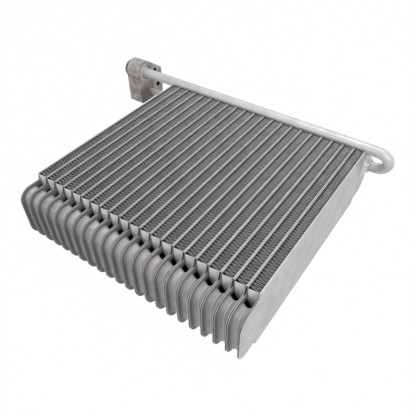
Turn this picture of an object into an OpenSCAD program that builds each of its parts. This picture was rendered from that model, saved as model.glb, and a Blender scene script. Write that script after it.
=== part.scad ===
// Laminated evaporator core: folded fin strips between flat tubes drawn from two plates each,
// with a tank of stacked cups at both ends, end plates, two refrigerant pipes and a connector block.
// X runs along the stack, Y along the tubes, Z up; the core lies on the edges of its plates.

/* [Stack] */
// Height of one folded fin strip, between two flat tubes
fin_h = 9.8; // [8:0.2:12]
// Thickness of one flat tube, over both of its plates
tube_t = 2.8; // [2.6:0.1:3.4]
// Length of the fin strips, from tank step to tank step
fin_len = 224; // [180:1:280]
// Depth of the core, across the plates
core_d = 76; // [66:1:90]

/* [Plates] */
// Thickness of the drawn plate
plate_t = 0.6; // [0.5:0.05:0.7]
// Thickness of the hemmed rim of one plate
rim_t = 1.1; // [0.9:0.05:1.2]
// Width of the rim round the drawn area
rim_w = 2.8; // [2:0.1:3.5]
// Depth of the groove along the seam of the two rims
seam_w = 1.3; // [0.8:0.1:1.6]
// Width of that groove
seam_gap = 0.7; // [0.3:0.1:1]
// Flow ribs pressed into each plate
rib_count = 4; // [2:1:6]
// Width of one flow rib
rib_w = 1.4; // [1:0.1:2]

/* [Tanks] */
// Length of a tank, beyond the fins
tank_l = 29; // [26:0.5:34]
// Step between the edge of the core and the edge of the tank
tank_step = 7; // [5:0.5:9]
// Run of the sloped edge at that step
step_run = 2; // [1:0.5:3]
// Radius of the outer corners of the tank
tank_r = 14.5; // [10:0.5:18]
// Gap between the fins and the root of a cup
cup_back = 5.3; // [4:0.1:7]
// Radius of the corners of a cup next to the fins
back_r = 5; // [4.5:0.5:8]
// How far the wall of a cup leans in over its height
cup_draft = 3; // [1.5:0.1:4]
// Width of the flat that joins a cup to the next one
cup_seat = 2; // [1.5:0.1:3]

/* [Fins] */
// Thickness of the folded fin strip
fin_t = 0.2; // [0.15:0.05:0.3]
// Number of legs in one fin strip
fin_legs = 64; // [30:2:70]
// How far the fins lie below the edges of the plates
fin_inset = 0.8; // [0.4:0.1:1.5]

/* [End plates] */
// Thickness of the flat outer end plate
end_t = 1; // [0.8:0.1:1.6]

/* [Pipes] */
// Outside diameter of the outlet pipe
outlet_d = 12; // [10:0.5:13]
// Outside diameter of the inlet pipe
inlet_d = 8; // [6:0.5:10]
// Wall of both pipes
pipe_wall = 1.2; // [0.8:0.1:1.6]
// Distance from the core to the connector block
block_gap = 53.8; // [40:0.2:80]
// Reach of the outlet pipe from the core to the start of its return bend
bend_reach = 11.3; // [9:0.1:20]
// Height of the outlet pipe where it enters the tank
outlet_z = 49.8; // [40:0.2:54]
// Radius of the outlet pipe's collar where it meets the end plate
collar_r = 13; // [11:0.5:13.5]
// Radius of the inlet pipe's collar where it meets the end plate
inlet_collar_r = 10; // [8:0.5:12]
// Height of a collar
collar_h = 5.2; // [4:0.1:8]

/* [Connector block] */
// Thickness of the block, along the pipes
block_t = 21.2; // [16:0.2:26]
// Depth of the block, along the tubes
block_d = 47; // [44:0.5:56]
// Drop from the upper port to the lower one
port_drop = 31.1; // [29:0.1:33]
// Radius of the round end over the upper port
barrel_r = 15; // [13:0.25:16]
// Distance from the lower edge of the block to the upper port
port_rise = 43; // [41:0.5:48]
// Diameter of a bolt hole
bolt_d = 6.6; // [5:0.2:8]
// Distance between the bolt holes
bolt_pitch = 22.6; // [20:0.2:24]
// Diameter of the upper nozzle
nozzle_d = 21.4; // [18:0.2:22]
// Diameter of the lower nozzle
inlet_nozzle_d = 15.4; // [12:0.2:17]
// Length of both nozzles
nozzle_l = 8; // [7:0.2:12]
// Thickness of the O-rings
ring_t = 2.4; // [1.8:0.1:3]

/* [Hidden] */
$fn = 64;
FINS = 21;
TUBES = FINS - 1;
braze = 0.05;            // clearance left at every brazed joint, so that each piece stays its own solid
pitch = fin_h + tube_t;
half_gap = fin_h / 2;
skin = end_t + plate_t + braze;
core_w = 2 * skin + FINS * fin_h + TUBES * tube_t;

// cups of the tanks
cup_front = tank_l - rim_w;
cup_lo = tank_step + rim_w;
cup_hi = core_d - cup_lo;
front_r = tank_r - rim_w;    // the front corners of a cup follow those of the tank
corner_y = [front_r - cup_front, -cup_back - back_r];
cup_top = pitch / 2 - braze / 2;
draft = cup_draft / cup_top;
sunk = plate_t / 2;      // how deep the foot of a cup lies in the plate that it is drawn from
rib_end = 6;             // from the end of the fins to the end of a flow rib

// pipes
pipe_gap = 1.3;          // from the end of the fins to the side of the outlet pipe
pipe_lift = 0.5;         // from the rim of the tank to the underside of the outlet pipe
axis_shift = 0.1;        // from the middle of the tank to the axes of the pipes that enter it
collar_lip = 2.2;        // wall of a collar at its head
outlet_y = fin_len + outlet_d / 2 + pipe_gap;
outlet_top = core_d - tank_step + outlet_d / 2 + pipe_lift;
inlet_z = outlet_top - port_drop;
tank_y = fin_len + tank_l / 2 + axis_shift;
bend_rise = outlet_top - outlet_z;
bend_run = tank_y - outlet_y;
bend_r = norm([bend_rise, bend_run]) / 2;
bend_tilt = atan(bend_run / bend_rise);
bend_x = core_w + bend_reach;
pipe_in = 3;             // how far the pipes reach into the tank, past the end plate
socket = 8;              // how far they reach into the connector block

// connector block, whose sockets face the core
block_x = -block_gap;
block_back = block_x - block_t;
bulge = 0.5;             // how far the round end stands out past the front face of the block
block_y = outlet_y - barrel_r + bulge;
block_z = outlet_top - port_rise;
corner_r = 3.5;
shoulder_fall = 3.2;     // from the upper port to the top of the rear shoulder
shoulder = [block_y + block_d - corner_r, outlet_top - shoulder_fall - corner_r];
bolt_inset = [13.6, 9.4];    // from the rear edge of the block to the upper and the lower bolt hole
bolt_fall = 4.6;         // from the upper port to the upper bolt hole
bolt_y = [block_y + block_d - bolt_inset[0], block_y + block_d - bolt_inset[1]];
bolt_z = [outlet_top - bolt_fall, outlet_top - bolt_fall - bolt_pitch];
groove_x = 3.2;          // land of a nozzle behind the groove of its O-ring
groove_w = 2.6;
proud = 0.8;             // how far an O-ring stands proud of its nozzle
land_w = 1.2;            // land in front of the groove, before the bevelled nose
nose = 0.9;
spot_depth = 1.5;
spot_d = [outlet_d + 5.6, inlet_d + 5];    // spot faces round the outlet pipe and the inlet pipe
port_relief = 0.2;       // how far the drilled port stands back from the bore of its pipe

// bounds of the whole part, which set the origin at the middle of its underside
x_min = block_back - nozzle_l;
x_max = bend_x + bend_r + outlet_d / 2;
y_min = -tank_l;
y_max = block_y + block_d;
ORIGIN = [(x_min + x_max) / 2, (y_min + y_max) / 2, 0];

function name(stem, i) = str(stem, i < 10 ? "_0" : "_", i);
FIN_NODES = [for (i = [1:FINS]) name("fin", i)];
TUBE_NODES = [for (i = [1:TUBES]) name("tube", i)];

function fin_x(i) = skin + (i - 1) * pitch;
function tube_x(i) = skin + i * pitch - tube_t / 2;

// moves a piece from the frame of the core, with X zero at the left end plate, to the part's own origin
module placed() {
    translate(-ORIGIN) children();
}

// turns a drawing in Y and Z into a sheet from x0 to x1
module sheet(x0, x1) {
    translate([x0, 0, 0])
        rotate([90, 0, 90])
            linear_extrude(x1 - x0) children();
}

module both_ends() {
    children();
    translate([0, fin_len, 0]) mirror([0, 1, 0]) children();
}

// what rounding to radius r takes away from a square corner at the origin
module corner_cut(r) {
    difference() {
        translate([-1, -1]) square(r + 1);
        translate([r, r]) circle(r);
    }
}

// outline of a plate, with a tank at either end; inset shrinks it all round
module outline(inset = 0) {
    front = inset - tank_l;
    back = fin_len - front;
    lo = tank_step + inset;
    hi = core_d - tank_step - inset;
    slope = inset * (norm([tank_step, step_run]) - step_run) / tank_step;
    corners = [[front, lo], [back, lo], [back, hi], [front, hi]];
    difference() {
        polygon([
            [front, lo], [slope - step_run, lo], [slope, inset],
            [fin_len - slope, inset], [fin_len - slope + step_run, lo], [back, lo],
            [back, hi], [fin_len - slope + step_run, hi], [fin_len - slope, core_d - inset],
            [slope, core_d - inset], [slope - step_run, hi], [front, hi]
        ]);
        for (i = [0:3])
            translate(corners[i]) rotate(90 * i) corner_cut(tank_r - inset);
    }
}

// the drawn area of a plate, between the two tanks
module dish_outline(inset = 0) {
    lo = rim_w + inset;
    neck = cup_lo + inset;
    front = corner_y[0];
    polygon([
        [front, neck], [inset, neck], [step_run + inset, lo],
        [fin_len - step_run - inset, lo], [fin_len - inset, neck], [fin_len - front, neck],
        [fin_len - front, core_d - neck], [fin_len - inset, core_d - neck],
        [fin_len - step_run - inset, core_d - lo],
        [step_run + inset, core_d - lo], [inset, core_d - neck], [front, core_d - neck]
    ]);
}

// whole hundredths of a millimetre, so that round ends and flat sides meet exactly
function fine(r) = round(100 * r) / 100;

// cup with leaning walls that follows the rim of the tank, drawn in by a at x0 and by b at x1
module cup(x0, x1, a, b) {
    foot = fine(a);
    head = fine(b);
    radius = [front_r, back_r];
    // corners as side, end and first angle
    for (c = [[1, 0, 0], [1, 1, 90], [0, 1, 180], [0, 0, 270]]) {
        r = radius[c[0]];
        z = c[1] == 0 ? cup_lo + r : cup_hi - r;
        translate([x0, corner_y[c[0]], z]) rotate([0, 90, 0]) rotate(c[2])
            rotate_extrude(angle = 90) polygon([[0, 0], [r - foot, 0], [r - head, x1 - x0], [0, x1 - x0]]);
    }
    for (side = [0, 1]) {
        r = radius[side];
        y = corner_y[side];
        out = 2 * side - 1;
        translate([0, 0, cup_lo + r])
            linear_extrude(cup_hi - cup_lo - 2 * r)
                polygon([[x0, y], [x0, y + out * (r - foot)], [x1, y + out * (r - head)], [x1, y]]);
    }
    translate([0, corner_y[1], 0]) rotate([90, 0, 0])
        linear_extrude(corner_y[1] - corner_y[0])
            polygon([[x0, cup_lo + foot], [x1, cup_lo + head], [x1, cup_hi - head], [x0, cup_hi - foot]]);
}

// the passage from one cup to the next, inside the flat seat on which they are brazed together
module passage(x0, x1) {
    inset = cup_draft + cup_seat;
    lo = [inset - cup_front, cup_lo + inset];
    hi = [-cup_back - inset, cup_hi - inset];
    r = min(back_r, (hi[0] - lo[0]) / 2 - 0.2);
    corners = [lo, [hi[0], lo[1]], hi, [lo[0], hi[1]]];
    sheet(x0, x1) difference() {
        polygon(corners);
        for (i = [0:3])
            translate(corners[i]) rotate(90 * i) corner_cut(r);
    }
}

// the inside of a cup, cut from root to floor, with the passage to the next cup
module cup_hollow(root, top, open = true) {
    floor_x = top - plate_t;
    inner = plate_t + cup_draft;
    cup(root - 1, floor_x, inner - draft * (top - root + 1), inner - draft * plate_t);
    if (open) passage(floor_x - 1, top + 1);
}

// one drawn plate, with the seam at x zero and its cups towards +X
module drawn_plate(blind = false) {
    channel = tube_t / 2 - plate_t;
    difference() {
        union() {
            sheet(seam_gap / 2, rim_t) outline();
            sheet(braze / 2, rim_t) outline(seam_w);
            sheet(braze / 2, tube_t / 2) dish_outline();
            both_ends() cup(sunk, cup_top, draft * sunk, cup_draft);
        }
        difference() {
            sheet(-1, channel) dish_outline(plate_t);
            flow_ribs(channel);
        }
        cup_hollow(0, cup_top);
        translate([0, fin_len, 0]) mirror([0, 1, 0]) cup_hollow(0, cup_top, !blind);
    }
}

// ribs that keep the two plates apart and lead the flow along the tube
module flow_ribs(channel) {
    span = core_d - 2 * rim_w;
    for (i = [1:rib_count])
        translate([braze / 2, rib_end, rim_w + span * i / (rib_count + 1) - rib_w / 2])
            cube([channel, fin_len - 2 * rib_end, rib_w]);
}

// a flat tube is two drawn plates face to face; one of the middle pair closes the rear tank
module tube(i) {
    color("silver") placed() translate([tube_x(i), 0, 0]) {
        drawn_plate(blind = i == TUBES / 2);
        mirror([1, 0, 0]) drawn_plate();
    }
}

// a fin strip is one folded sheet, whose folds touch the tubes on both sides in turn
module fin(i) {
    run = fin_len - 2 * step_run;
    leg = run / fin_legs;
    tuck = fin_t / sin(atan(leg / fin_h));
    left = braze;
    right = fin_h - braze;
    front = [for (k = [0:fin_legs]) [k % 2 == 0 ? left + tuck : right, k * leg]];
    back = [for (k = [fin_legs:-1:0]) [k % 2 == 0 ? left : right - tuck, k * leg]];
    color("darkgray") placed() translate([fin_x(i), step_run, fin_inset])
        linear_extrude(core_d - 2 * fin_inset) polygon(concat(front, back));
}

// flat outer plate; the bore takes a pipe of diameter d at height z
module end_plate(d, z) {
    sheet(0, end_t) difference() {
        outline();
        translate([tank_y, z]) circle(d = d + 2 * braze);
    }
}

module left_end_plate() {
    color("gainsboro") placed() end_plate(inlet_d, inlet_z);
}

module right_end_plate() {
    color("gainsboro") placed() translate([core_w, 0, 0]) mirror([1, 0, 0]) end_plate(outlet_d, outlet_z);
}

// the plate behind it, flat under the fins, with cups that meet those of the last tube
module cup_plate() {
    root = end_t + braze;
    top = skin + half_gap - braze / 2;
    difference() {
        union() {
            sheet(root, skin) outline();
            both_ends() cup(root + sunk, top, cup_draft - draft * (top - root - sunk), cup_draft);
        }
        both_ends() cup_hollow(root, top);
    }
}

module left_cup_plate() {
    color("silver") placed() cup_plate();
}

module right_cup_plate() {
    color("silver") placed() translate([core_w, 0, 0]) mirror([1, 0, 0]) cup_plate();
}

// ring section of a pipe of diameter d
module pipe_ring(d) {
    difference() {
        circle(d = d);
        circle(d = d - 2 * pipe_wall);
    }
}

// long run over the rear tank, return bend beyond the right end, and short run into the tank
module outlet_pipe() {
    long = bend_x - block_x + socket;
    short = bend_x - core_w + skin + pipe_in;
    color("whitesmoke") placed()
        translate([bend_x, (outlet_y + tank_y) / 2, (outlet_top + outlet_z) / 2]) rotate([bend_tilt, 0, 0]) {
            translate([-long, 0, bend_r]) rotate([0, 90, 0]) linear_extrude(long) pipe_ring(outlet_d);
            translate([-short, 0, -bend_r]) rotate([0, 90, 0]) linear_extrude(short) pipe_ring(outlet_d);
            rotate([90, 0, 0]) rotate([0, 0, -90])
                rotate_extrude(angle = 180) translate([bend_r, 0]) pipe_ring(outlet_d);
        }
}

module inlet_pipe() {
    reach = block_gap + socket + skin + pipe_in;
    color("whitesmoke") placed() translate([block_x - socket, tank_y, inlet_z]) rotate([0, 90, 0])
        linear_extrude(reach) pipe_ring(inlet_d);
}

// collar that carries a pipe of diameter d on the end plate, from its foot of radius r
module collar(d, r) {
    difference() {
        cylinder(h = collar_h, r1 = r, r2 = d / 2 + collar_lip);
        translate([0, 0, -1]) cylinder(h = collar_h + 2, d = d + 2 * braze);
    }
}

module outlet_collar() {
    color("lightgray") placed() translate([core_w + braze, tank_y, outlet_z]) rotate([0, 90, 0])
        collar(outlet_d, collar_r);
}

module inlet_collar() {
    color("lightgray") placed() translate([-braze, tank_y, inlet_z]) rotate([0, -90, 0])
        collar(inlet_d, inlet_collar_r);
}

// outline of the block: round end over the upper port, straight run down to the rear shoulder
module block_outline() {
    port = [outlet_y, outlet_top];
    reach = shoulder - port;
    turn = atan2(reach[1], reach[0]) + acos((barrel_r - corner_r) / norm(reach));
    lean = [cos(turn), sin(turn)];
    front = block_y + corner_r;
    back = block_y + block_d;
    polygon([
        port + barrel_r * lean, shoulder + corner_r * lean, shoulder + [corner_r, 0],
        [back, block_z + corner_r], [back - corner_r, block_z], [front, block_z],
        [block_y, block_z + corner_r], [block_y, outlet_top], port
    ]);
    translate(port) circle(barrel_r);
    for (c = [shoulder, [back - corner_r, block_z + corner_r], [front, block_z + corner_r]])
        translate(c) circle(corner_r);
}

// diameter of the floor of the groove, from which the O-ring stands proud of the nozzle
function groove_floor(d) = d - 2 * ring_t + 2 * proud;

// nozzle towards -X, with a land either side of the groove for its O-ring; its foot is at the origin
module nozzle(d) {
    land_x = groove_x + groove_w;
    nose_x = land_x + land_w;
    rotate([0, -90, 0]) {
        cylinder(h = groove_x, d = d);
        cylinder(h = nose_x, d = groove_floor(d));
        translate([0, 0, land_x]) cylinder(h = land_w, d = d);
        translate([0, 0, nose_x]) cylinder(h = nozzle_l - nose_x, d1 = d, d2 = d - 2 * nose);
    }
}

// passage through block and nozzle for a pipe of diameter d, with its socket and spot face
module port_cut(d, spot) {
    translate([block_back - nozzle_l - 1, 0, 0]) rotate([0, 90, 0])
        cylinder(h = block_t + nozzle_l + 2, d = d - 2 * pipe_wall + 2 * port_relief);
    translate([block_x - socket - braze, 0, 0]) rotate([0, 90, 0])
        cylinder(h = socket + 1, d = d + 2 * braze);
    translate([block_x - spot_depth, 0, 0]) rotate([0, 90, 0])
        cylinder(h = spot_depth + 1, d = spot);
}

module connector_block() {
    color("darkgray") placed() difference() {
        union() {
            sheet(block_back, block_x) block_outline();
            translate([block_back, outlet_y, outlet_top]) nozzle(nozzle_d);
            translate([block_back, tank_y, inlet_z]) nozzle(inlet_nozzle_d);
        }
        translate([0, outlet_y, outlet_top]) port_cut(outlet_d, spot_d[0]);
        translate([0, tank_y, inlet_z]) port_cut(inlet_d, spot_d[1]);
        for (i = [0, 1])
            translate([block_back - 1, bolt_y[i], bolt_z[i]]) rotate([0, 90, 0])
                cylinder(h = block_t + 2, d = bolt_d);
    }
}

// O-ring that lies in the groove of a nozzle of diameter d
module o_ring(d) {
    translate([-groove_x - groove_w / 2, 0, 0]) rotate([0, 90, 0])
        rotate_extrude() translate([(groove_floor(d) + ring_t) / 2 + braze, 0]) circle(d = ring_t);
}

module outlet_o_ring() {
    color("black") placed() translate([block_back, outlet_y, outlet_top]) o_ring(nozzle_d);
}

module inlet_o_ring() {
    color("black") placed() translate([block_back, tank_y, inlet_z]) o_ring(inlet_nozzle_d);
}

for (i = [1:FINS])
    fin(i);
for (i = [1:TUBES])
    tube(i);
left_end_plate();
right_end_plate();
left_cup_plate();
right_cup_plate();
outlet_pipe();
inlet_pipe();
outlet_collar();
inlet_collar();
connector_block();
outlet_o_ring();
inlet_o_ring();
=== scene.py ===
import bpy
import bmesh
import math
from mathutils import Matrix, Vector


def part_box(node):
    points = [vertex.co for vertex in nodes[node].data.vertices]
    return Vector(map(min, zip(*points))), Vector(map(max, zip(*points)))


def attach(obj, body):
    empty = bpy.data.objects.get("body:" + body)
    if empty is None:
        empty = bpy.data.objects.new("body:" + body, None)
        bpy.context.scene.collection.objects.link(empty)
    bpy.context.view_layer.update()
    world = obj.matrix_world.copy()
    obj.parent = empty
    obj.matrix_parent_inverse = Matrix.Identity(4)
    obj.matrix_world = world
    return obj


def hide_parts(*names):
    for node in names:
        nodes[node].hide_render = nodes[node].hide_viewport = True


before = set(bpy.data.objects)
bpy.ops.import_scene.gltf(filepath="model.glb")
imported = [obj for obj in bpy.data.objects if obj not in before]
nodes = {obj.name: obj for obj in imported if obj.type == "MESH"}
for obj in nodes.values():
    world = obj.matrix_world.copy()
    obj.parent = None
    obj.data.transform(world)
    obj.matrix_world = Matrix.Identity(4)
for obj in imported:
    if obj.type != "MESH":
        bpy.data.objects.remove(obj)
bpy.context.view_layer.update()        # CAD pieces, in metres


# small helpers for working by hand
def clearSelection():
    active = bpy.context.view_layer.objects.active
    if active and active.mode != "OBJECT":
        bpy.ops.object.mode_set(mode="OBJECT")
    bpy.ops.object.select_all(action="DESELECT")


def makeActive(obj):
    clearSelection()
    obj.select_set(True)
    bpy.context.view_layer.objects.active = obj


def startEdit(obj):
    makeActive(obj)
    bpy.ops.object.mode_set(mode="EDIT")
    bpy.ops.mesh.select_mode(type="VERT")
    bpy.ops.mesh.select_all(action="DESELECT")


def endEdit():
    bpy.ops.object.mode_set(mode="OBJECT")


def pickFaces(obj, test):
    mesh = bmesh.from_edit_mesh(obj.data)
    for face in mesh.faces:
        face.select_set(test(face.calc_center_median()))
    bmesh.update_edit_mesh(obj.data)


def pickEdges(obj, test):
    mesh = bmesh.from_edit_mesh(obj.data)
    for edge in mesh.edges:
        edge.select_set(test(edge.verts[0].co, edge.verts[1].co))
    bmesh.update_edit_mesh(obj.data)


def applyAll(obj):
    makeActive(obj)
    for modifier in list(obj.modifiers):
        bpy.ops.object.modifier_apply(modifier=modifier.name)


def joinPieces(pieces, name):
    clearSelection()
    for piece in pieces:
        piece.select_set(True)
    bpy.context.view_layer.objects.active = pieces[0]
    bpy.ops.object.join()
    joined = bpy.context.view_layer.objects.active
    joined.name = joined.data.name = name
    return joined


def dress(obj, *metals):
    obj.data.materials.clear()
    for metal in metals:
        obj.data.materials.append(metal)


def putOn(obj, slotName, *replaced):
    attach(obj, "root")
    if replaced:
        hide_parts(*replaced)


# colours are written as they look on screen
def tone(text):
    channels = [int(text[i:i + 2], 16) / 255 for i in (0, 2, 4)]
    return [c / 12.92 if c <= 0.04045 else ((c + 0.055) / 1.055) ** 2.4 for c in channels] + [1.0]


cameraSetting = {
    "place": (0.24328, -0.30450, 0.36347),
    "yaw": -35.67, "pitch": 43.82, "roll": -0.87,
    "lens": 38.172,
    "sensor": 36,
    "nearest": 0.01,
}
lightSetting = {
    "air": 0.5,         # light from all round
    "paper": 0.99,      # share of the floor that glows by itself; the rest takes the shadow
    "paperTone": 0.6,   # how pale that rest is
    "floorWidth": 8.0,
    "floorDrop": 0.0002,
    "lamps": {
        # name: place, aim, size, watts
        "overhead": ((0.10, 0.25, 1.10), (0.0, 0.0, 0.0), 0.8, 6.0),
        "rightSide": ((1.00, -0.30, 0.55), (0.1, 0.0, 0.05), 0.6, 4.5),
        "frontSide": ((-0.25, -1.00, 0.60), (0.0, -0.1, 0.05), 0.6, 2.5),
    },
}


# node helpers: a value may be a number, a colour or a socket
def feed(tree, socket, value):
    if isinstance(value, bpy.types.NodeSocket):
        tree.links.new(value, socket)
    else:
        socket.default_value = value


def mathNode(tree, operation, *values):
    node = tree.nodes.new("ShaderNodeMath")
    node.operation = operation
    for socket, value in zip(node.inputs, values):
        feed(tree, socket, value)
    return node.outputs[0]


# 0 before start, 1 after end, and the other way round if start is the larger
def ramp(tree, value, start, end):
    node = tree.nodes.new("ShaderNodeMapRange")
    node.interpolation_type = "SMOOTHSTEP"
    flipped = start > end
    node.inputs["From Min"].default_value = min(start, end)
    node.inputs["From Max"].default_value = max(start, end)
    node.inputs["To Min"].default_value = 1.0 if flipped else 0.0
    node.inputs["To Max"].default_value = 0.0 if flipped else 1.0
    tree.links.new(value, node.inputs["Value"])
    return node.outputs["Result"]


# where all masks meet
def overlap(tree, *masks):
    product = masks[0]
    for mask in masks[1:]:
        product = mathNode(tree, "MULTIPLY", product, mask)
    return product


# rises from start to full, and falls again from until to end
def band(tree, value, start, full, until, end):
    return overlap(tree, ramp(tree, value, start, full), ramp(tree, value, end, until))


def blend(tree, share, first, second):
    node = tree.nodes.new("ShaderNodeMix")
    node.data_type = "RGBA"
    feed(tree, node.inputs["Factor"], share)
    feed(tree, node.inputs["A"], first)
    feed(tree, node.inputs["B"], second)
    return node.outputs["Result"]


# 1 for rays that show the background: from the camera, off gloss or through glass
def backgroundRay(tree):
    rays = tree.nodes.new("ShaderNodeLightPath")
    glossy = mathNode(tree, "MAXIMUM", rays.outputs["Is Camera Ray"], rays.outputs["Is Glossy Ray"])
    return mathNode(tree, "MAXIMUM", glossy, rays.outputs["Is Transmission Ray"])


def addCamera(setting):
    yaw, pitch, roll = (math.radians(setting[key]) for key in ("yaw", "pitch", "roll"))
    ahead = Vector((math.sin(yaw) * math.cos(pitch), math.cos(yaw) * math.cos(pitch), -math.sin(pitch)))
    side = Vector((math.cos(yaw), -math.sin(yaw), 0))
    upward = side.cross(ahead)
    across = math.cos(roll) * side + math.sin(roll) * upward
    upright = math.cos(roll) * upward - math.sin(roll) * side
    turn = Matrix((across, upright, -ahead)).transposed().to_4x4()
    data = bpy.data.cameras.new("photoCamera")
    data.lens = setting["lens"]
    data.sensor_width = setting["sensor"]
    data.clip_start = setting["nearest"]
    camera = bpy.data.objects.new("photoCamera", data)
    camera.matrix_world = Matrix.Translation(setting["place"]) @ turn
    bpy.context.scene.collection.objects.link(camera)
    bpy.context.scene.camera = camera


# the background is white, and what lights the metals is softer
def addWorld(setting):
    world = bpy.data.worlds.new("studio")
    world.use_nodes = True
    tree = world.node_tree
    tree.nodes.clear()
    lit = tree.nodes.new("ShaderNodeBackground")
    lit.inputs["Color"].default_value = (1, 1, 1, 1)
    lit.inputs["Strength"].default_value = setting["air"]
    seen = tree.nodes.new("ShaderNodeBackground")
    seen.inputs["Color"].default_value = (1, 1, 1, 1)
    mix = tree.nodes.new("ShaderNodeMixShader")
    out = tree.nodes.new("ShaderNodeOutputWorld")
    tree.links.new(backgroundRay(tree), mix.inputs[0])
    tree.links.new(lit.outputs[0], mix.inputs[1])
    tree.links.new(seen.outputs[0], mix.inputs[2])
    tree.links.new(mix.outputs[0], out.inputs[0])
    bpy.context.scene.world = world


def addFloor(setting):
    clearSelection()
    bpy.ops.mesh.primitive_plane_add(size=setting["floorWidth"], location=(0, 0, -setting["floorDrop"]))
    floor = bpy.context.object
    floor.name = "floor"
    bpy.ops.object.transform_apply(location=True)
    paper = bpy.data.materials.new("whitePaper")
    paper.use_nodes = True
    tree = paper.node_tree
    tree.nodes.clear()
    matt = tree.nodes.new("ShaderNodeBsdfDiffuse")
    matt.inputs["Color"].default_value = (*[setting["paperTone"]] * 3, 1)
    glow = tree.nodes.new("ShaderNodeEmission")
    mix = tree.nodes.new("ShaderNodeMixShader")
    out = tree.nodes.new("ShaderNodeOutputMaterial")
    tree.links.new(mathNode(tree, "MULTIPLY", backgroundRay(tree), setting["paper"]), mix.inputs[0])
    tree.links.new(matt.outputs[0], mix.inputs[1])
    tree.links.new(glow.outputs[0], mix.inputs[2])
    tree.links.new(mix.outputs[0], out.inputs[0])
    dress(floor, paper)


def addLamp(name, place, aim, size, watts):
    data = bpy.data.lights.new(name, "AREA")
    data.shape = "DISK"
    data.size = size
    data.energy = watts
    lamp = bpy.data.objects.new(name, data)
    lamp.location = place
    lamp.rotation_euler = (Vector(aim) - Vector(place)).to_track_quat("-Z", "Y").to_euler()
    bpy.context.scene.collection.objects.link(lamp)


addCamera(cameraSetting)
addWorld(lightSetting)
addFloor(lightSetting)
for lampName, lampValues in lightSetting["lamps"].items():
    addLamp(lampName, *lampValues)
bpy.context.scene.view_settings.view_transform = "Standard"
print("camera, floor and light are in place")


# fine grain, larger patches and drawn streaks, as masks from 0 to 1
surfaceSetting = {
    # name: detail, stretch along X, Y and Z
    "Grain": (3, (1, 1, 1)),
    "Patches": (2, (1, 1, 1)),
    "Streaks": (2, (0.08, 1, 1)),
}
noiseRange = (0.3, 0.7)      # part of the noise that a mask uses
grainDepth = 0.0002


def buildSurfaceGroup(setting):
    group = bpy.data.node_groups.new("metalSurface", "ShaderNodeTree")
    for name in setting:
        group.interface.new_socket(name + " Scale", in_out="INPUT", socket_type="NodeSocketFloat")
    for name in setting:
        group.interface.new_socket(name, in_out="OUTPUT", socket_type="NodeSocketFloat")
    given = group.nodes.new("NodeGroupInput")
    result = group.nodes.new("NodeGroupOutput")
    place = group.nodes.new("ShaderNodeTexCoord")
    for name, (detail, stretch) in setting.items():
        mapping = group.nodes.new("ShaderNodeMapping")
        mapping.inputs["Scale"].default_value = stretch
        noise = group.nodes.new("ShaderNodeTexNoise")
        noise.inputs["Detail"].default_value = detail
        group.links.new(place.outputs["Object"], mapping.inputs["Vector"])
        group.links.new(mapping.outputs["Vector"], noise.inputs["Vector"])
        group.links.new(given.outputs[name + " Scale"], noise.inputs["Scale"])
        group.links.new(ramp(group, noise.outputs["Fac"], *noiseRange), result.inputs[name])
    return group


finStrip = {
    "legs": 128,
    "sheet": 0.00014,         # thickness of the metal
    "foldRadius": 0.00055,
    "foldSteps": 4,
    "reachOut": 0.0025,       # how far the folded sheet reaches past the solid strip
    "endStep": 0.0019,        # how far an end leg runs along the strip
    "plainSide": 0.0011,      # plain metal between a fold and the louvres
    "lip": 0.0005,            # where a louvre lifts out of the sheet
    "plainEdge": 0.0005,      # plain metal above the first louvre
    "louvre": 0.0011,
    "louvresAbove": 2,
    "louvresBelow": 1,
    "louvreTurn": 27,         # degrees out of the sheet
    "mergeReach": 2e-6,
    "smoothAngle": 50,
}
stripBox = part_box("fin_01")
stripFront = stripBox[0].y - finStrip["reachOut"]
stripRear = stripBox[1].y + finStrip["reachOut"]
firstFold = stripFront + finStrip["endStep"]
foldStep = (stripRear - stripFront - 2 * finStrip["endStep"]) / (finStrip["legs"] - 2)
pipeFront = 0.1079        # the side of the long pipe that faces the fins
millimetres = 1000.0


# place in the stack, in millimetres: across it from the seam of a tube to the next one, from the
# nearest seam, from the middle of the core along the tubes, in from the nearer broad side, from the
# last fold that touches the right side of its strip, and from there on to the long pipe
def buildPlaceGroup():
    low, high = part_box("tube_01")
    seam = (low.x + high.x) / 2
    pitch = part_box("tube_02")[0].x - low.x
    group = bpy.data.node_groups.new("stackPlace", "ShaderNodeTree")
    names = ("Across", "From Seam", "From Middle", "Depth", "Fold Phase", "To Pipe")
    for name in names:
        group.interface.new_socket(name, in_out="OUTPUT", socket_type="NodeSocketFloat")
    result = group.nodes.new("NodeGroupOutput")
    place = group.nodes.new("ShaderNodeTexCoord")
    split = group.nodes.new("ShaderNodeSeparateXYZ")
    group.links.new(place.outputs["Object"], split.inputs[0])
    shifted = mathNode(group, "SUBTRACT", split.outputs["X"], seam)
    across = mathNode(group, "WRAP", shifted, pitch, 0.0)
    fromSeam = mathNode(group, "PINGPONG", shifted, pitch / 2)
    fromCentre = mathNode(group, "SUBTRACT", split.outputs["Y"], (low.y + high.y) / 2)
    along = mathNode(group, "ABSOLUTE", fromCentre)
    height = mathNode(group, "SUBTRACT", split.outputs["Z"], (low.z + high.z) / 2)
    depth = mathNode(group, "SUBTRACT", (high.z - low.z) / 2, mathNode(group, "ABSOLUTE", height))
    fromFirst = mathNode(group, "SUBTRACT", split.outputs["Y"], firstFold)
    foldPhase = mathNode(group, "WRAP", fromFirst, 2 * foldStep, 0.0)
    toPipe = mathNode(group, "SUBTRACT", pipeFront, split.outputs["Y"])
    for name, value in zip(names, (across, fromSeam, along, depth, foldPhase, toPipe)):
        group.links.new(mathNode(group, "MULTIPLY", value, millimetres), result.inputs[name])
    return group


surfaceGroup = buildSurfaceGroup(surfaceSetting)
placeGroup = buildPlaceGroup()

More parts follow.
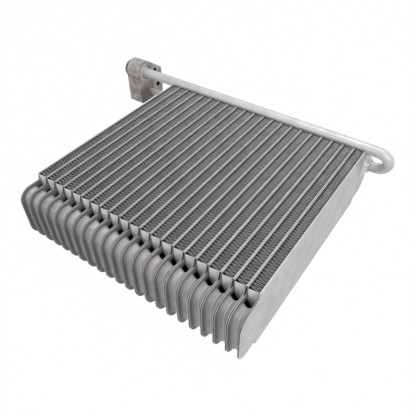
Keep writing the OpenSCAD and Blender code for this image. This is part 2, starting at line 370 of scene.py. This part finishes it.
# scales are those of grain, patches and streaks
metalSetting = {
    "finMetal": {"dark": "b2b7ba", "light": "dcdfe0", "metallic": 0.3, "rough": (0.45, 0.62),
                 "scales": (2600, 90, 300), "bump": 0.15},
    # painted light: a pale copy of the fin metal for the end legs, as if lit from the front
    "litTabMetal": {"dark": "dcdcdb", "light": "fafaf8", "metallic": 0.1, "rough": (0.45, 0.6),
                 "scales": (2000, 150, 300), "bump": 0.15},
    "plateMetal": {"dark": "cbcbcc", "light": "f0f0f0", "metallic": 0.35, "rough": (0.45, 0.6),
                   "scales": (2200, 70, 260), "bump": 0.12},
    "endPlateMetal": {"dark": "a9a9a8", "light": "c2c2c1", "metallic": 0.35, "rough": (0.42, 0.55),
                      "scales": (2400, 45, 200), "bump": 0.08},
    "pipeMetal": {"dark": "b3b3b2", "light": "cacaca", "metallic": 0.35, "rough": (0.42, 0.52),
                  "scales": (1500, 60, 500), "bump": 0.08},
    "brazeMetal": {"dark": "7a7773", "light": "f6f6f4", "metallic": 0.35, "rough": (0.22, 0.38),
                   "scales": (900, 500, 300), "bump": 0.6},
    "blockMetal": {"dark": "6c6663", "light": "c2bdb9", "metallic": 0.25, "rough": (0.55, 0.7),
                   "scales": (900, 110, 300), "bump": 0.6},
    "sealRubber": {"dark": "161616", "light": "2b2b2b", "metallic": 0.0, "rough": (0.45, 0.6),
                   "scales": (1800, 120, 300), "bump": 0.1},
}


def objectPlace(tree):
    split = tree.nodes.new("ShaderNodeSeparateXYZ")
    tree.links.new(tree.nodes.new("ShaderNodeTexCoord").outputs["Object"], split.inputs[0])
    return split.outputs


# a metal with its surface; shadeColour may paint shade and light over the plain colour, and is given the
# place in the stack and the masks of the surface
def buildMetal(name, look, shadeColour=None):
    metal = bpy.data.materials.new(name)
    metal.use_nodes = True
    tree = metal.node_tree
    shader = tree.nodes["Principled BSDF"]
    shader.inputs["Metallic"].default_value = look["metallic"]
    surface = tree.nodes.new("ShaderNodeGroup")
    surface.node_tree = surfaceGroup
    for socket, value in zip(surface.inputs, look["scales"]):
        socket.default_value = value
    speckle = mathNode(tree, "ADD", surface.outputs["Grain"], surface.outputs["Patches"])
    colour = blend(tree, mathNode(tree, "MULTIPLY", speckle, 0.5), tone(look["dark"]), tone(look["light"]))
    if shadeColour:
        place = tree.nodes.new("ShaderNodeGroup")
        place.node_tree = placeGroup
        colour = shadeColour(tree, colour, place.outputs, surface.outputs)
    tree.links.new(colour, shader.inputs["Base Color"])
    gloss = tree.nodes.new("ShaderNodeMapRange")
    gloss.inputs["To Min"].default_value, gloss.inputs["To Max"].default_value = look["rough"]
    tree.links.new(surface.outputs["Streaks"], gloss.inputs["Value"])
    tree.links.new(gloss.outputs["Result"], shader.inputs["Roughness"])
    bump = tree.nodes.new("ShaderNodeBump")
    bump.inputs["Strength"].default_value = look["bump"]
    bump.inputs["Distance"].default_value = grainDepth
    tree.links.new(surface.outputs["Grain"], bump.inputs["Height"])
    tree.links.new(bump.outputs["Normal"], shader.inputs["Normal"])
    return metal


# painted shade and light on the metals of the core, and where they are dull: two numbers start and end a
# ramp and four a band, in the millimetres of stackPlace
paintedShadeAndTone = {
    "finEdge": (1.3, 2.0),       # depth over which the bright cut edge of a fin turns into painted shade
    "loopDepth": 2.4,            # how much deeper that is inside the folds on the left
    # painted shade deep in the fins, below their cut edges
    "finShade": "272b2e",
    # near-black painted shade: in the gaps of the fins, in the shadow of the long pipe and below the end legs
    "blackShade": "060607",
    "pipeShade": (4.5, 0.5),     # shade that the long pipe throws on the core
    "pipeShadeShare": 0.93,
    "leftSide": (3.8, 3.2),      # painted shade in the gaps between the folds and the plate on the left
    "leftGap": (1.75, 1.5),
    "rightSide": (9.6, 10.4),    # and on the right
    "rightGap": (1.6, 1.75, 3.1, 3.25),
    "rightGapShare": 0.7,
    "tabFade": (11.0, 14.5),     # depth at which the end of a strip sinks into the shade
    "tabTongue": 1.9,            # how much deeper that is for each millimetre away from the plates
    "seam": (0.48, 0.34),        # half of the groove between the rims of two plates, painted in shade
    # painted shade in the grooves between the rims, and in the seam of the end plate
    "grooveShade": "3e3e3f",
    "neck": (110.8, 112.0, 115.0, 117.0),    # step between core and tank, where the rims part
    "neckSeam": (0.8, 0.66),     # half of the groove there, painted in deep shade
    "neckShade": "161617",
    "rimEdge": (0.88, 0.97),     # end of the bright edge of a rim
    "tankRim": "b2b1b1",         # which is duller round the tanks
    "cup": ("918e8f", "aaa6a6"),
    "rootShade": (1.6, 4.2),     # shade beside the rims, on the cups
    "rootDeep": "7e7c7d",
    "joint": (5.6, 5.95),        # light line where two cups are brazed together
    "jointLight": "c2c1c0",
    "besideFins": (112.6, 111.9),
    "wall": (0.8, 1.5),          # depth at which the flat faces of a tube beside the fins turn into painted shade
    "wallFold": (1.2, 1.4, 2.1, 2.3),        # less painted shade where a fold touches them
    "wallShare": 0.65,
    # painted shade on the faces beside the fins and behind the cups
    "wallShade": "0b0c0d",
    "pit": (12.5, 16.0),         # depth at which the space behind the cups turns into painted shade
    "pitFrom": (118.5, 117.0),   # and how far from the middle of the core
    "endSeam": (0.002, 0.0015, 0.0003, 0.00012),     # metres in from the outer face of the end plate
    "endSeamFrom": (114.0, 117.0),
}


# painted light and shade: the top of a fin is bright, and further down where a fold closes it; beside the
# plates, the gaps between the folds are painted in shade
def shadeFin(tree, colour, place, surface):
    phase = place["Fold Phase"]
    leftSide = ramp(tree, place["Across"], *paintedShadeAndTone["leftSide"])
    leftGap = overlap(tree, leftSide, ramp(tree, phase, *paintedShadeAndTone["leftGap"]))
    rightSide = ramp(tree, place["Across"], *paintedShadeAndTone["rightSide"])
    rightGap = overlap(tree, rightSide, band(tree, phase, *paintedShadeAndTone["rightGap"]), paintedShadeAndTone["rightGapShare"])
    inLoop = mathNode(tree, "SUBTRACT", leftSide, leftGap)
    depth = mathNode(tree, "SUBTRACT", place["Depth"], mathNode(tree, "MULTIPLY", inLoop, paintedShadeAndTone["loopDepth"]))
    colour = blend(tree, ramp(tree, depth, *paintedShadeAndTone["finEdge"]), colour, tone(paintedShadeAndTone["finShade"]))
    colour = blend(tree, mathNode(tree, "MAXIMUM", leftGap, rightGap), colour, tone(paintedShadeAndTone["blackShade"]))
    return shadeNearPipe(tree, colour, place)


# shade on the core beside the long pipe
def shadeNearPipe(tree, colour, place):
    dark = overlap(tree, ramp(tree, place["To Pipe"], *paintedShadeAndTone["pipeShade"]), paintedShadeAndTone["pipeShadeShare"])
    return blend(tree, dark, colour, tone(paintedShadeAndTone["blackShade"]))


# the plain end leg of a strip is painted pale as if lit, with a painted tongue of light between the plates
# over painted shade
def shadeTab(tree, colour, place, surface):
    fromPlate = mathNode(tree, "MULTIPLY", place["From Seam"], paintedShadeAndTone["tabTongue"])
    reach = mathNode(tree, "SUBTRACT", place["Depth"], fromPlate)
    colour = blend(tree, ramp(tree, reach, *paintedShadeAndTone["tabFade"]), colour, tone(paintedShadeAndTone["blackShade"]))
    return shadeNearPipe(tree, colour, place)


# plates have pale rims with a groove in painted shade, dull cups, and painted shade beside and behind the
# fins
def shadePlate(tree, colour, place, surface):
    fromSeam, fromMiddle, depth = (place[name] for name in ("From Seam", "From Middle", "Depth"))
    inCore = ramp(tree, fromMiddle, *paintedShadeAndTone["besideFins"])
    onSide = ramp(tree, fromSeam, *paintedShadeAndTone["rimEdge"])
    cup = blend(tree, surface["Patches"], *(tone(text) for text in paintedShadeAndTone["cup"]))
    cup = blend(tree, ramp(tree, fromSeam, *paintedShadeAndTone["rootShade"]), tone(paintedShadeAndTone["rootDeep"]), cup)
    cup = blend(tree, ramp(tree, fromSeam, *paintedShadeAndTone["joint"]), cup, tone(paintedShadeAndTone["jointLight"]))
    colour = blend(tree, inCore, tone(paintedShadeAndTone["tankRim"]), colour)
    colour = blend(tree, onSide, colour, cup)
    colour = blend(tree, ramp(tree, fromSeam, *paintedShadeAndTone["seam"]), colour, tone(paintedShadeAndTone["grooveShade"]))
    neck = band(tree, fromMiddle, *paintedShadeAndTone["neck"])
    neckGroove = overlap(tree, neck, ramp(tree, fromSeam, *paintedShadeAndTone["neckSeam"]))
    colour = blend(tree, neckGroove, colour, tone(paintedShadeAndTone["neckShade"]))
    lighter = overlap(tree, band(tree, place["Fold Phase"], *paintedShadeAndTone["wallFold"]), paintedShadeAndTone["wallShare"])
    unlit = mathNode(tree, "SUBTRACT", 1.0, lighter)
    besideFins = overlap(tree, inCore, unlit, ramp(tree, depth, *paintedShadeAndTone["wall"]))
    inPit = overlap(tree, ramp(tree, fromMiddle, *paintedShadeAndTone["pitFrom"]), ramp(tree, depth, *paintedShadeAndTone["pit"]))
    dark = overlap(tree, onSide, mathNode(tree, "MAXIMUM", inPit, besideFins))
    colour = blend(tree, dark, colour, tone(paintedShadeAndTone["wallShade"]))
    return blend(tree, inCore, colour, shadeNearPipe(tree, colour, place))


# the right end plate has painted shade in the seam round its tanks, between it and the outer cup plate
def shadeEndPlate(tree, colour, place, surface):
    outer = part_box("right_end_plate")[1].x
    seam = band(tree, objectPlace(tree)["X"], *(outer - depth for depth in paintedShadeAndTone["endSeam"]))
    seam = overlap(tree, seam, ramp(tree, place["From Middle"], *paintedShadeAndTone["endSeamFrom"]))
    return blend(tree, seam, colour, tone(paintedShadeAndTone["grooveShade"]))


# in metres, as places or as distances from an axis
blockMarks = {
    "outlet": (0.1139, 0.0755),  # axes as Y and Z
    "boltHoles": ((0.1328, 0.0709), (0.137, 0.0483)),
    "holeRadius": 0.0034,
    # painted shade inside the bolt holes
    "hole": "15110f",
    "faceSkin": (0.0003, 0.0001),        # in from the face that points to the core
    "ring": (0.0080, 0.0095, 0.0108, 0.0130),    # painted highlight on a ring round the spot face of the pipe, on its front side only
    "ringFront": (0.119, 0.111),
    "ringHighlight": "c3c3c6",
    "barrelFoot": (0.0708, 0.0712, 0.0718, 0.0722),      # painted shade line under the round end
    "barrelFront": (0.1015, 0.1005),
    "barrelShadeLine": "5f5651",
    "brownReach": (0.0165, 0.0085),      # patchy brown round the outlet
    "brownFrom": 0.007,          # which starts this far in from the outer face
    "outletBrown": "8a7468",
    "lowShade": (0.062, 0.048),  # brown lower part of the face that points to the core
    "lowFront": (0.128, 0.112),
    "lowBrown": "7d7067",
}


# cast block: painted highlight on a ring, patchy brown round the outlet, a painted shade line under the round
# end and painted shade in the bolt holes
def shadeBlock(tree, colour, place, surface):
    marks = blockMarks
    low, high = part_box("connector_block")
    at = objectPlace(tree)
    x, y, z = (at[axis] for axis in "XYZ")

    def fromAxis(axis):
        side = mathNode(tree, "POWER", mathNode(tree, "SUBTRACT", y, axis[0]), 2.0)
        up = mathNode(tree, "POWER", mathNode(tree, "SUBTRACT", z, axis[1]), 2.0)
        return mathNode(tree, "SQRT", mathNode(tree, "ADD", side, up))

    radius = fromAxis(marks["outlet"])
    onFace = ramp(tree, x, *(high.x - skin for skin in marks["faceSkin"]))
    near = ramp(tree, x, low.x + marks["brownFrom"], high.x)
    outletBrown = overlap(tree, ramp(tree, radius, *marks["brownReach"]), near, surface["Patches"])
    lowBrown = overlap(tree, onFace, ramp(tree, z, *marks["lowShade"]), ramp(tree, y, *marks["lowFront"]))
    line = overlap(tree, band(tree, z, *marks["barrelFoot"]), ramp(tree, y, *marks["barrelFront"]))
    ring = overlap(tree, onFace, band(tree, radius, *marks["ring"]), ramp(tree, y, *marks["ringFront"]))
    layers = [(outletBrown, "outletBrown"), (lowBrown, "lowBrown"), (line, "barrelShadeLine"), (ring, "ringHighlight")]
    for axis in marks["boltHoles"]:
        layers.append((mathNode(tree, "LESS_THAN", fromAxis(axis), marks["holeRadius"]), "hole"))
    for mask, paint in layers:
        colour = blend(tree, mask, colour, tone(marks[paint]))
    return colour


shadeOf = {"finMetal": shadeFin, "litTabMetal": shadeTab, "plateMetal": shadePlate,
           "endPlateMetal": shadeEndPlate, "blockMetal": shadeBlock}
metals = {name: buildMetal(name, look, shadeOf.get(name)) for name, look in metalSetting.items()}
print("metals and rubber are mixed")


# flat upright leg from x 0 to its length
def buildLeg(length, low, high):
    clearSelection()
    bpy.ops.mesh.primitive_plane_add(size=1, rotation=(math.pi / 2, 0, 0), location=(0.5, 0, 0.5))
    leg = bpy.context.object
    bpy.ops.object.transform_apply(location=True, rotation=True)
    leg.data.transform(Matrix.Translation((0, 0, low)) @ Matrix.Diagonal((length, 1, high - low, 1)))
    return leg


# cuts louvres near both edges of a leg and turns them out of the sheet
def cutLouvres(leg, size, length, low, high):
    inner = size["plainSide"]
    lip = size["lip"]
    xCuts = [inner, inner + lip, length - inner - lip, length - inner]
    tops = [high - size["plainEdge"] - k * size["louvre"] for k in range(size["louvresAbove"] + 1)]
    feet = [low + size["plainEdge"] + k * size["louvre"] for k in range(size["louvresBelow"] + 1)]
    startEdit(leg)
    for x in xCuts:
        bpy.ops.mesh.select_all(action="SELECT")
        bpy.ops.mesh.bisect(plane_co=(x, 0, 0), plane_no=(1, 0, 0))
    for z in tops + feet:
        pickFaces(leg, lambda middle: xCuts[0] < middle.x < xCuts[3])
        bpy.ops.mesh.bisect(plane_co=(0, 0, z), plane_no=(0, 0, 1))
    bpy.ops.mesh.select_mode(type="EDGE")
    near = size["mergeReach"] / 2
    pickEdges(leg, lambda a, b: any(abs(a.z - z) < near and abs(b.z - z) < near for z in tops + feet))
    bpy.ops.mesh.edge_split(type="EDGE")
    bpy.ops.mesh.select_mode(type="FACE")
    slats = [(tops[k + 1], tops[k]) for k in range(size["louvresAbove"])]
    slats += [(feet[k], feet[k + 1]) for k in range(size["louvresBelow"])]
    for bottom, top in slats:
        pickFaces(leg, lambda middle: xCuts[1] < middle.x < xCuts[2] and bottom < middle.z < top)
        bpy.ops.transform.rotate(value=math.radians(size["louvreTurn"]), orient_axis="X",
                                 center_override=(0, 0, (bottom + top) / 2))
    endEdit()
    return leg


# half-round fold that starts at an upright edge and turns about its middle
def buildFold(size, middle, start, turn, low, high):
    clearSelection()
    bpy.ops.mesh.primitive_plane_add(size=1)
    fold = bpy.context.object
    startEdit(fold)
    bpy.ops.mesh.select_all(action="SELECT")
    bpy.ops.mesh.merge(type="CENTER")
    bpy.ops.mesh.select_all(action="SELECT")
    bpy.ops.transform.translate(value=(start[0], start[1], low))
    bpy.ops.mesh.extrude_region_move(TRANSFORM_OT_translate={"value": (0, 0, high - low)})
    bpy.ops.mesh.select_all(action="SELECT")
    bpy.ops.mesh.spin(steps=size["foldSteps"], angle=turn, center=(middle[0], middle[1], 0), axis=(0, 0, 1))
    endEdit()
    return fold


def buildFinStrip(size):
    low, high = stripBox
    radius = size["foldRadius"]
    left = low.x + radius + size["sheet"] / 2
    right = high.x - radius - size["sheet"] / 2
    reach = math.hypot(right - left, foldStep)
    slope = math.atan2(foldStep, right - left) - math.asin(2 * radius / reach)
    length = math.sqrt(reach ** 2 - 4 * radius ** 2)
    turn = math.pi - 2 * slope
    off = Vector((-math.sin(slope), math.cos(slope))) * radius
    tilt = Matrix.Rotation(slope, 4, "Z")
    mirror = Matrix.Diagonal((-1, 1, 1, 1))

    # from the rear side of the right fold at y to the next left fold
    def leftward(y):
        leg = cutLouvres(buildLeg(length, low.z, high.z), size, length, low.z, high.z)
        leg.data.transform(Matrix.Translation((right - off.x, y + off.y, 0)) @ mirror @ tilt)
        return leg

    # and from the rear side of the left fold at y to the next right fold
    def rightward(y):
        leg = cutLouvres(buildLeg(length, low.z, high.z), size, length, low.z, high.z)
        leg.data.transform(Matrix.Translation((left + off.x, y + off.y, 0)) @ tilt)
        return leg

    def leftFold(y):
        return buildFold(size, (left, y), (left + off.x, y - off.y), turn, low.z, high.z)

    def rightFold(y):
        return buildFold(size, (right, y), (right - off.x, y - off.y), -turn, low.z, high.z)

    # plain leg from the front left corner of the strip to its first fold
    def endLeg():
        start = Vector((low.x + size["sheet"], stripFront + size["sheet"]))
        way = Vector((right - off.x, firstFold - off.y)) - start
        leg = buildLeg(way.length, low.z, high.z)
        heading = Matrix.Rotation(math.atan2(way.y, way.x), 4, "Z")
        leg.data.transform(Matrix.Translation((start.x, start.y, 0)) @ heading)
        return leg

    second = firstFold + foldStep
    wave = [rightFold(firstFold), leftward(firstFold), leftFold(second), rightward(second)]
    wave = joinPieces(wave, "finWave")
    array = wave.modifiers.new("waves", "ARRAY")
    array.count = size["legs"] // 2 - 1
    array.use_relative_offset = False
    array.use_constant_offset = True
    array.constant_offset_displace = (0, 2 * foldStep, 0)
    applyAll(wave)
    lastFold = rightFold(stripRear - size["endStep"])
    frontLeg, rearLeg = endLeg(), endLeg()
    toRear = Matrix.Translation((0, stripFront + stripRear, 0)) @ Matrix.Diagonal((1, -1, 1, 1))
    rearLeg.data.transform(toRear)
    for piece in (wave, lastFold):
        dress(piece, metals["finMetal"])
    for piece in (frontLeg, rearLeg):
        dress(piece, metals["litTabMetal"])
    folded = joinPieces([wave, lastFold, frontLeg, rearLeg], "finStrip")
    startEdit(folded)
    bpy.ops.mesh.select_all(action="SELECT")
    bpy.ops.mesh.remove_doubles(threshold=size["mergeReach"])
    bpy.ops.mesh.normals_make_consistent(inside=False)
    endEdit()
    thick = folded.modifiers.new("sheet", "SOLIDIFY")
    thick.thickness = size["sheet"]
    thick.offset = 0
    applyAll(folded)
    bpy.ops.object.shade_smooth_by_angle(angle=math.radians(size["smoothAngle"]))
    return folded


strip = buildFinStrip(finStrip)
for node in sorted(name for name in nodes if name.startswith("fin_")):
    mesh = strip.data.copy()
    mesh.transform(Matrix.Translation((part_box(node)[0].x - stripBox[0].x, 0, 0)))
    twin = bpy.data.objects.new(node.replace("fin_", "finStrip_"), mesh)
    bpy.context.scene.collection.objects.link(twin)
    putOn(twin, "fin", node)
print("fin strips:", len(strip.data.polygons), "faces each")
bpy.data.objects.remove(strip)

beadShape = {"segments": 40, "sides": 10, "unevenness": 0.3, "evenShare": 0.6}
brazeBead = {
    # name: axis as Y and Z, place along the stack, ring radius, bead radius, seed
    "outletBead": ((0.1212, 0.0498), 0.1641, 0.0071, 0.0012, 4),
    "outletFoot": ((0.1212, 0.0498), 0.1590, 0.0127, 0.0010, 9),
    "blockBead": ((0.1139, 0.0755), -0.1612, 0.0067, 0.0011, 2),
}


# uneven ring of filler metal where a pipe is brazed in
def buildBead(name, axis, x, ring, bead, seed):
    clearSelection()
    bpy.ops.mesh.primitive_torus_add(
        major_radius=ring, minor_radius=bead, major_segments=beadShape["segments"],
        minor_segments=beadShape["sides"], rotation=(0, math.pi / 2, 0), location=(x, *axis))
    ringOfMetal = bpy.context.object
    bpy.ops.object.transform_apply(location=True, rotation=True)
    startEdit(ringOfMetal)
    bpy.ops.mesh.select_all(action="SELECT")
    bpy.ops.transform.vertex_random(
        offset=bead * beadShape["unevenness"], uniform=beadShape["evenShare"], seed=seed)
    endEdit()
    soft = ringOfMetal.modifiers.new("soft", "SUBSURF")
    soft.levels = soft.render_levels = 1
    applyAll(ringOfMetal)
    bpy.ops.object.shade_smooth()
    ringOfMetal.name = ringOfMetal.data.name = name
    dress(ringOfMetal, metals["brazeMetal"])
    putOn(ringOfMetal, "pipe")


for beadName, beadValues in brazeBead.items():
    buildBead(beadName, *beadValues)
print("brazed joints have their beads")

# the solid pieces keep their meshes; a part of their name picks the metal
metalOf = {"tube": "plateMetal", "cup_plate": "plateMetal", "end_plate": "endPlateMetal", "pipe": "pipeMetal",
           "collar": "brazeMetal", "block": "blockMetal", "o_ring": "sealRubber"}
for node, obj in nodes.items():
    for part, metal in metalOf.items():
        if part in node:
            dress(obj, metals[metal])
print("solid pieces are dressed")
